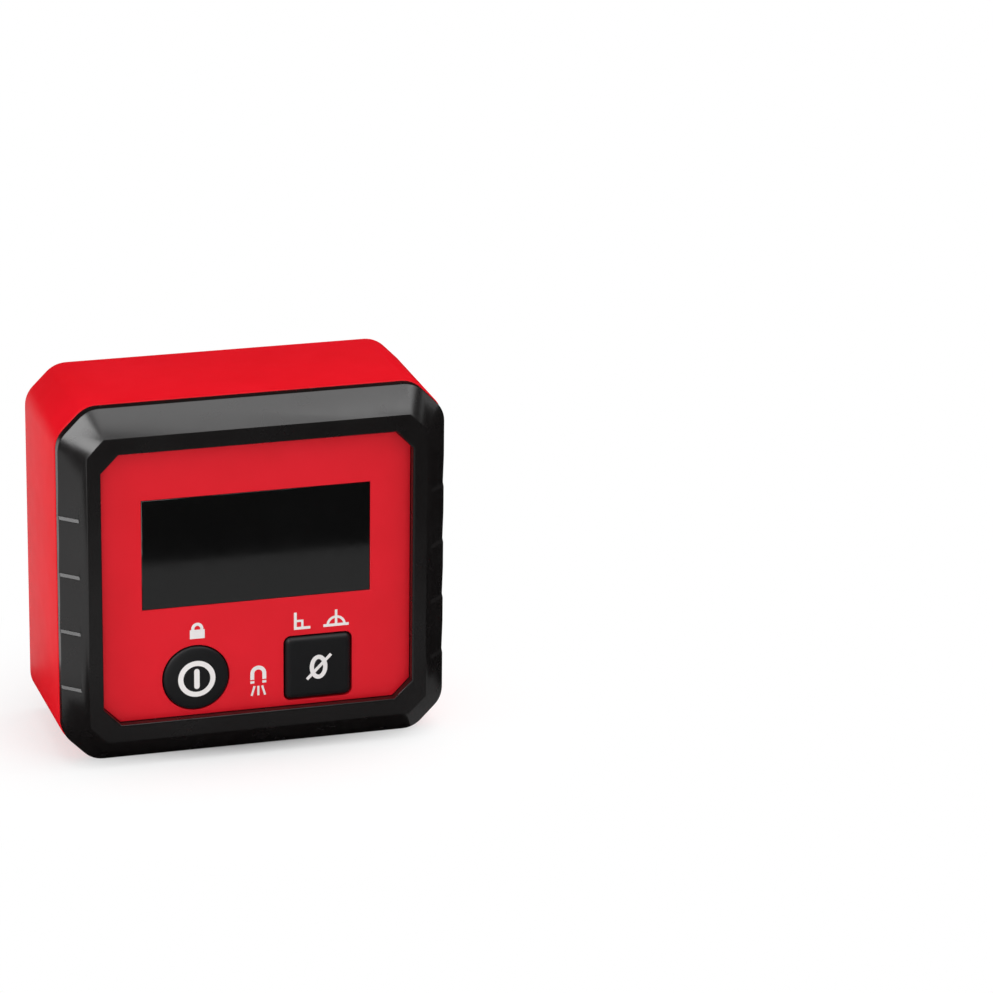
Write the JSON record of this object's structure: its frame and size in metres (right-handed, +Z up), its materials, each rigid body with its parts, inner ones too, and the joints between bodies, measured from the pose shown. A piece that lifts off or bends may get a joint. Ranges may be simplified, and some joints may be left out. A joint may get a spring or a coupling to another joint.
{
  "type": "digital angle gauge",
  "caption": "Palm-sized digital angle gauge: red octagonal case, dark bevelled bezel with grips, recessed face with display and keys, magnetic base, cells behind a rear door.",
  "frame": {"origin": "on the surface that the base plate stands on, under the middle of the gauge's box", "axes": "+Z up from the magnetic base, -Y out of the display's face, +X to the right of someone reading the display"},
  "size_m": [0.0626, 0.0286, 0.0588],
  "materials": {
    "red_case": "satin moulded",
    "bezel": "fine moulded texture",
    "red_face": "satin",
    "lens": "polished",
    "keys": "satin",
    "display_glass": "polished",
    "inner_plastic": "moulded",
    "light_guide": "polished",
    "zebra": "matte",
    "board": "solder mask",
    "passives": "ceramic",
    "screw_steel": "zinc plated",
    "contact_metal": "nickel plated",
    "cells": "printed jacket",
    "base_metal": "milled",
    "magnets": "nickel plated"
  },
  "bodies": {
    "case": {"rear_housing": "red_case", "front_bezel": "bezel", "face_panel": "red_face", "display_lens": "lens", "lcd_cell": "display_glass", "lcd_frame": "inner_plastic", "light_guide": "light_guide", "backlight_leds": "light_guide", "zebra_upper": "zebra", "zebra_lower": "zebra", "main_pcb": "board", "pcb_screws": "screw_steel", "controller_chip": "inner_plastic", "tilt_sensor": "contact_metal", "pcb_passives": "passives", "power_switch": "inner_plastic", "zero_switch": "inner_plastic", "battery_upper": "cells", "battery_lower": "cells", "contact_positive": "contact_metal", "contact_negative": "contact_metal", "contact_bridge": "contact_metal", "base_plate": "base_metal", "magnet_1": "magnets", "magnet_2": "magnets", "magnet_3": "magnets", "magnet_4": "magnets", "base_screws": "screw_steel", "case_screws": "screw_steel"},
    "power_key": {"power_button": "keys", "power_plunger": "inner_plastic"},
    "zero_key": {"zero_button": "keys", "zero_plunger": "inner_plastic"},
    "door": {"battery_door": "red_case", "door_screws": "screw_steel"}
  },
  "joints": [
    {"name": "power_press", "type": "slide", "parent": "case", "child": "power_key", "axis": [0, 1, 0], "range_m": [0, 0.0005], "stiffness_N_per_m": 1500},
    {"name": "zero_press", "type": "slide", "parent": "case", "child": "zero_key", "axis": [0, 1, 0], "range_m": [0, 0.0005], "stiffness_N_per_m": 1500},
    {"name": "battery_door_lift", "type": "slide", "parent": "case", "child": "door", "axis": [0, 1, 0], "range_m": [0, 0.025]}
  ]
}
